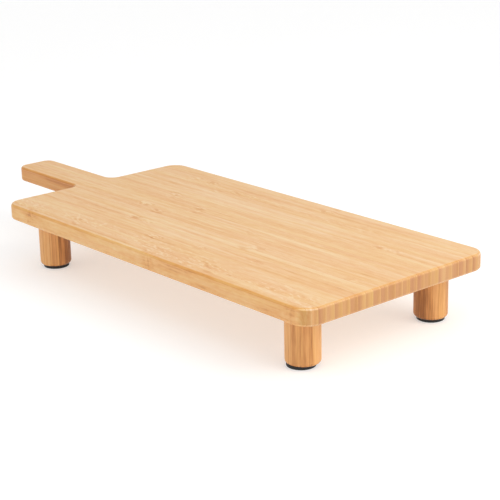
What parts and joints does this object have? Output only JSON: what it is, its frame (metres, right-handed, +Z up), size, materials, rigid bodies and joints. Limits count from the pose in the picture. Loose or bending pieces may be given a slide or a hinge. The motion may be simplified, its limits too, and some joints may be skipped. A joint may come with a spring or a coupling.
{
  "type": "footed cutting board",
  "caption": "Low rectangular serving and cutting board of laminated bamboo strips, with a straight handle at one end, round legs and rubber foot pads.",
  "frame": {"origin": "on the surface that the board stands on, under the middle of its whole length and width", "axes": "+X along the board away from its handle, +Y across it, +Z up"},
  "size_m": [0.506, 0.2, 0.059],
  "materials": {
    "bamboo": "fine sanded and oiled, satin",
    "pad_rubber": "matt",
    "screw_steel": "zinc plated"
  },
  "bodies": {
    "root": {"board_strip_01": "bamboo", "board_strip_02": "bamboo", "board_strip_03": "bamboo", "board_strip_04": "bamboo", "board_strip_05": "bamboo", "board_strip_06": "bamboo", "board_strip_07": "bamboo", "board_strip_08": "bamboo", "board_strip_09": "bamboo", "board_strip_10": "bamboo", "board_strip_11": "bamboo", "board_strip_12": "bamboo", "board_strip_13": "bamboo", "board_strip_14": "bamboo", "board_strip_15": "bamboo", "board_strip_16": "bamboo", "board_strip_17": "bamboo", "board_strip_18": "bamboo", "board_strip_19": "bamboo", "board_strip_20": "bamboo", "board_strip_21": "bamboo", "board_strip_22": "bamboo", "board_strip_23": "bamboo", "board_strip_24": "bamboo", "board_strip_25": "bamboo", "board_strip_26": "bamboo", "leg_back_left_strip_1": "bamboo", "leg_back_left_strip_2": "bamboo", "leg_back_left_strip_3": "bamboo", "leg_back_left_strip_4": "bamboo", "leg_back_left_strip_5": "bamboo", "leg_back_right_strip_1": "bamboo", "leg_back_right_strip_2": "bamboo", "leg_back_right_strip_3": "bamboo", "leg_back_right_strip_4": "bamboo", "leg_back_right_strip_5": "bamboo", "leg_front_left_strip_1": "bamboo", "leg_front_left_strip_2": "bamboo", "leg_front_left_strip_3": "bamboo", "leg_front_left_strip_4": "bamboo", "leg_front_left_strip_5": "bamboo", "leg_front_right_strip_1": "bamboo", "leg_front_right_strip_2": "bamboo", "leg_front_right_strip_3": "bamboo", "leg_front_right_strip_4": "bamboo", "leg_front_right_strip_5": "bamboo", "leg_screws": "screw_steel", "pad_back_left": "pad_rubber", "pad_back_right": "pad_rubber", "pad_front_left": "pad_rubber", "pad_front_right": "pad_rubber"}
  },
  "joints": []
}
